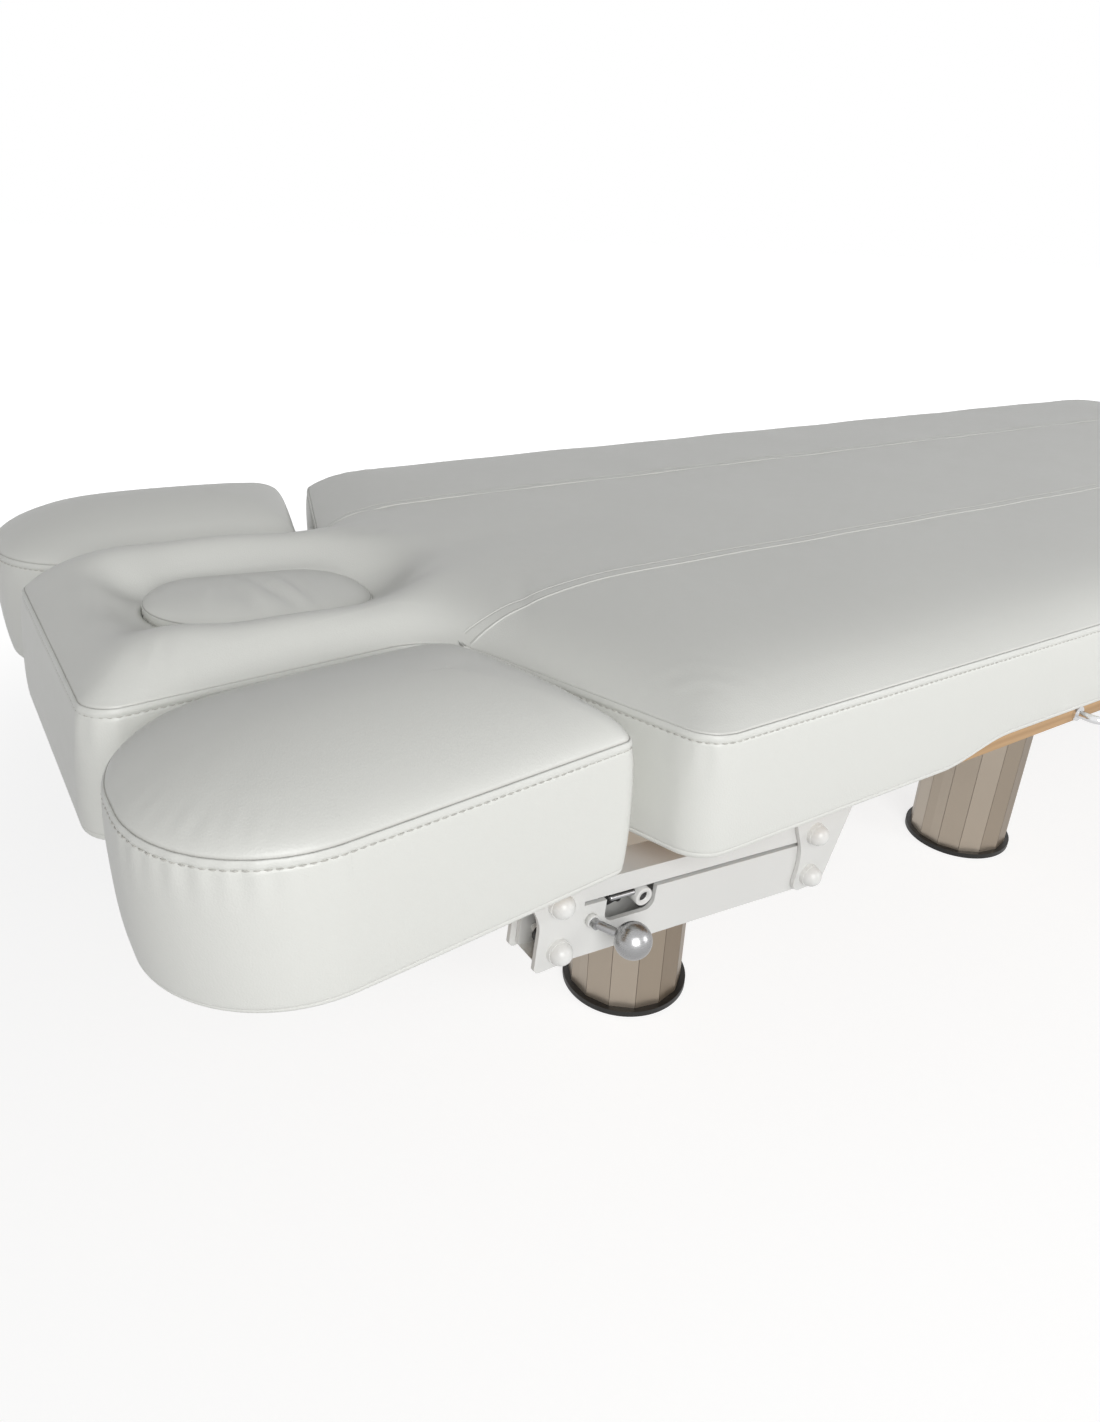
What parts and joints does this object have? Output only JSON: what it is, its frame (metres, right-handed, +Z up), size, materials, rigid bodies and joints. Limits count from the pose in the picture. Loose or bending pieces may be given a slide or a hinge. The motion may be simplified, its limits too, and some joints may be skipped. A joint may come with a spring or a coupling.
{
  "type": "electric massage bed",
  "caption": "Padded massage bed on electric lifting columns, with a plugged face hole in a narrow head section, lowering armrests on linkages, and side towel rails.",
  "frame": {"origin": "centre of the footprint's bounding box, on the floor, bed at its lowest", "axes": "+X from the head end to the foot end, +Y across the bed, +Z up; the right armrest is at -Y"},
  "size_m": [2.022, 0.828, 0.651],
  "materials": {
    "upholstery": "satin",
    "deck_wood": "satin",
    "board_wood": "matte",
    "white_metal": "satin",
    "white_caps": "satin",
    "frame_metal": "satin",
    "column_cladding": "satin",
    "column_core": "matte",
    "black_metal": "satin",
    "satin_steel": "satin",
    "lock_steel": "matte",
    "zinc_fasteners": "satin",
    "bright_chrome": "polished",
    "drive_housing": "matte",
    "glide_plastic": "satin",
    "black_plastic": "matte"
  },
  "bodies": {
    "base": {"base_plate_head": "black_metal", "column_sleeve_head": "column_core", "column_slats_head": "column_cladding", "glide_ring_head": "glide_plastic", "lift_gearbox_head": "drive_housing", "lift_motor_head": "drive_housing", "base_plate_foot": "black_metal", "column_sleeve_foot": "column_core", "column_slats_foot": "column_cladding", "glide_ring_foot": "glide_plastic", "lift_gearbox_foot": "drive_housing", "lift_motor_foot": "drive_housing"},
    "bed": {"mattress": "upholstery", "deck_board": "deck_wood", "frame_rail_right": "frame_metal", "frame_rail_left": "frame_metal", "cross_tube_front": "frame_metal", "cross_tube_rear": "frame_metal", "cross_tubes_head": "frame_metal", "cross_tubes_foot": "frame_metal", "column_bolts": "zinc_fasteners", "control_box": "black_plastic", "mains_inlet": "black_plastic", "handset_socket": "black_plastic", "towel_rail_feet": "bright_chrome", "bed_screws": "zinc_fasteners", "column_stage_head": "satin_steel", "head_plate_head": "frame_metal", "lift_rod_head": "satin_steel", "column_stage_foot": "satin_steel", "head_plate_foot": "frame_metal", "lift_rod_foot": "satin_steel", "towel_rail_right": "bright_chrome", "bed_bracket_right": "white_metal", "bed_pivot_bolts_right": "white_caps", "towel_rail_left": "bright_chrome", "bed_bracket_left": "white_metal", "bed_pivot_bolts_left": "white_caps"},
    "face_plug": {"face_plug": "upholstery"},
    "lower_link_right": {"lower_link_right": "white_metal"},
    "upper_link_right": {"upper_link_right": "white_metal"},
    "armrest_right": {"armrest_cushion_right": "upholstery", "armrest_board_right": "board_wood", "arm_bracket_right": "white_metal", "arm_pivot_bolts_right": "white_caps", "arm_screws_right": "zinc_fasteners", "lock_sector_right": "lock_steel"},
    "lever_right": {"release_lever_right": "satin_steel", "lever_ball_right": "satin_steel"},
    "lower_link_left": {"lower_link_left": "white_metal"},
    "upper_link_left": {"upper_link_left": "white_metal"},
    "armrest_left": {"armrest_cushion_left": "upholstery", "armrest_board_left": "board_wood", "arm_bracket_left": "white_metal", "arm_pivot_bolts_left": "white_caps", "arm_screws_left": "zinc_fasteners", "lock_sector_left": "lock_steel"},
    "lever_left": {"release_lever_left": "satin_steel", "lever_ball_left": "satin_steel"}
  },
  "joints": [
    {"name": "height_lift", "type": "slide", "parent": "base", "child": "bed", "axis": [0, 0, 1], "range_m": [0, 0.28]},
    {"name": "face_plug_lift", "type": "slide", "parent": "bed", "child": "face_plug", "axis": [0, 0, 1], "range_m": [0, 0.2]},
    {"name": "armrest_swing_right", "type": "hinge", "parent": "bed", "child": "lower_link_right", "pos_m": [-0.47, -0.325, 0.414], "axis": [0, -1, 0], "range_deg": [0, 16]},
    {"name": "upper_link_swing_right", "type": "hinge", "parent": "bed", "child": "upper_link_right", "pos_m": [-0.47, -0.325, 0.457], "axis": [0, -1, 0], "range_deg": [-1, 17]},
    {"name": "armrest_level_right", "type": "hinge", "parent": "lower_link_right", "child": "armrest_right", "pos_m": [-0.73672, -0.325, 0.44015], "axis": [0, -1, 0], "range_deg": [-17, 1]},
    {"name": "release_lever_right", "type": "hinge", "parent": "lower_link_right", "child": "lever_right", "pos_m": [-0.70431, -0.325, 0.45305], "axis": [0, -1, 0], "range_deg": [0, 25], "stiffness_Nm_per_rad": 0.4},
    {"name": "armrest_swing_left", "type": "hinge", "parent": "bed", "child": "lower_link_left", "pos_m": [-0.47, 0.325, 0.414], "axis": [0, -1, 0], "range_deg": [0, 16]},
    {"name": "upper_link_swing_left", "type": "hinge", "parent": "bed", "child": "upper_link_left", "pos_m": [-0.47, 0.325, 0.457], "axis": [0, -1, 0], "range_deg": [-1, 17]},
    {"name": "armrest_level_left", "type": "hinge", "parent": "lower_link_left", "child": "armrest_left", "pos_m": [-0.73672, 0.325, 0.44015], "axis": [0, -1, 0], "range_deg": [-17, 1]},
    {"name": "release_lever_left", "type": "hinge", "parent": "lower_link_left", "child": "lever_left", "pos_m": [-0.70431, 0.325, 0.45305], "axis": [0, -1, 0], "range_deg": [0, 25], "stiffness_Nm_per_rad": 0.4}
  ],
  "couplings": [
    {"joint": "upper_link_swing_right", "follows": "armrest_swing_right", "ratio": 1},
    {"joint": "armrest_level_right", "follows": "armrest_swing_right", "ratio": -1},
    {"joint": "upper_link_swing_left", "follows": "armrest_swing_left", "ratio": 1},
    {"joint": "armrest_level_left", "follows": "armrest_swing_left", "ratio": -1}
  ]
}
